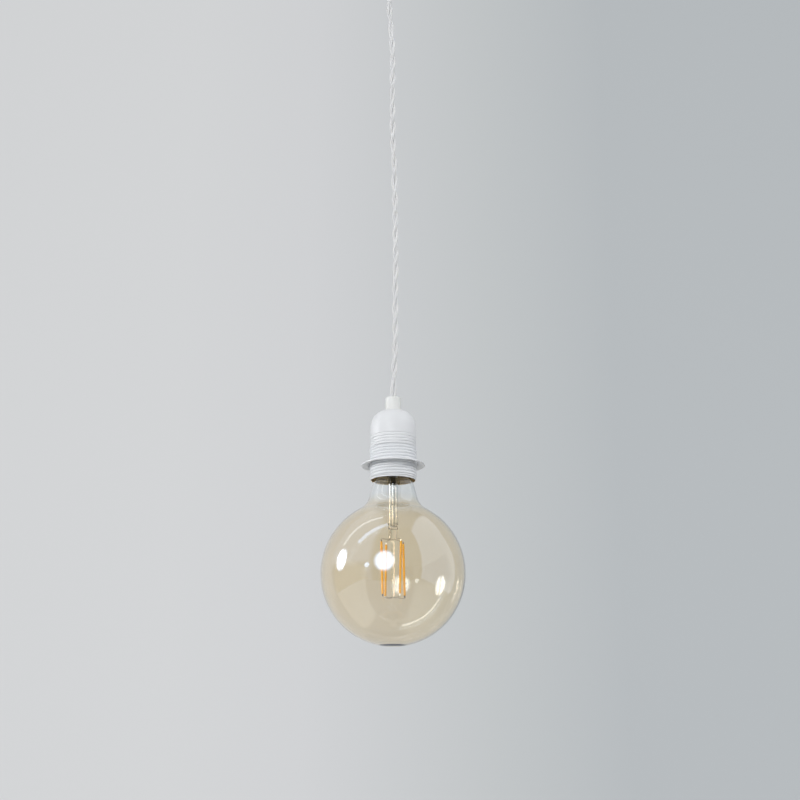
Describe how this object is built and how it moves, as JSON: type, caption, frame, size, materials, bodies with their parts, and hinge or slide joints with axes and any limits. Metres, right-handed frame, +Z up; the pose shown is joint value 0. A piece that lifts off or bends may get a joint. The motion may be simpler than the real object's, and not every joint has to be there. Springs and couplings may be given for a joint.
{
  "type": "pendant light",
  "caption": "Pendant light: twisted fabric cord from a ceiling cup to a threaded lamp holder with a shade ring and an amber globe filament bulb.",
  "frame": {"origin": "middle of the mounting bracket's top face, in the ceiling plane", "axes": "+Z up, out of the bracket towards the ceiling; the lamp hangs along -Z; the pictured side faces -Y"},
  "size_m": [0.125, 0.125, 0.7173],
  "materials": {
    "cup_paint": "satin white paint",
    "holder_paint": "gloss white paint outside, bare brass inside the lower shell",
    "grip_plastic": "slightly warm white, semi-matt",
    "zinc_steel": "zinc plated",
    "block_plastic": "natural white",
    "brass": "rolled, slightly dull",
    "ceramic": "glazed white",
    "cord_fabric": "white braided textile over twisted strands",
    "live_cover": "brown insulation",
    "neutral_cover": "blue insulation",
    "globe_glass": "clear at the neck, amber tinted on the globe",
    "stem_glass": "clear",
    "cap_nickel": "nickel plated",
    "black_glass": "black moulded glass",
    "contact_tin": "soldered",
    "wire_metal": "drawn wire",
    "phosphor": "yellow-orange phosphor coating, unlit",
    "board_resin": "green circuit board",
    "capacitor_sleeve": "black sleeve"
  },
  "bodies": {
    "root": {"block_fixing_screw": "zinc_steel", "bottom_link_left": "wire_metal", "bottom_link_right": "wire_metal", "bulb_glass": "globe_glass", "cap_contact": "contact_tin", "cap_insulator": "black_glass", "cap_shell": "cap_nickel", "ceiling_cup": "cup_paint", "centre_contact": "brass", "clamp_screw_1": "zinc_steel", "clamp_screw_2": "zinc_steel", "clamp_screw_3": "zinc_steel", "clamp_screw_4": "zinc_steel", "contact_link": "brass", "cord": "cord_fabric", "cup_nipple": "zinc_steel", "cup_nut": "zinc_steel", "cup_washer": "zinc_steel", "dome_cap": "holder_paint", "driver_board": "board_resin", "driver_capacitor": "capacitor_sleeve", "exhaust_tube": "stem_glass", "filament_back_left": "phosphor", "filament_back_right": "phosphor", "filament_front_left": "phosphor", "filament_front_right": "phosphor", "holder_lead_live": "live_cover", "holder_lead_neutral": "neutral_cover", "holder_nipple": "zinc_steel", "holder_nut": "zinc_steel", "insert": "ceramic", "lead_in_left": "wire_metal", "lead_in_right": "wire_metal", "lower_cord_grip": "grip_plastic", "lower_grip_screw": "zinc_steel", "mounting_bracket": "zinc_steel", "screw_shell": "brass", "shade_ring": "holder_paint", "shell_screw_long": "zinc_steel", "shell_screw_short": "zinc_steel", "side_screw_left": "zinc_steel", "side_screw_right": "zinc_steel", "stem": "stem_glass", "supply_lead_live": "live_cover", "supply_lead_neutral": "neutral_cover", "support_rod": "stem_glass", "terminal_barrel_1": "brass", "terminal_barrel_2": "brass", "terminal_block": "block_plastic", "terminal_live": "brass", "terminal_neutral": "brass", "terminal_screw_live": "zinc_steel", "terminal_screw_neutral": "zinc_steel", "threaded_shell": "holder_paint", "top_link": "wire_metal", "upper_cord_grip": "grip_plastic", "upper_grip_screw": "zinc_steel"}
  },
  "joints": []
}
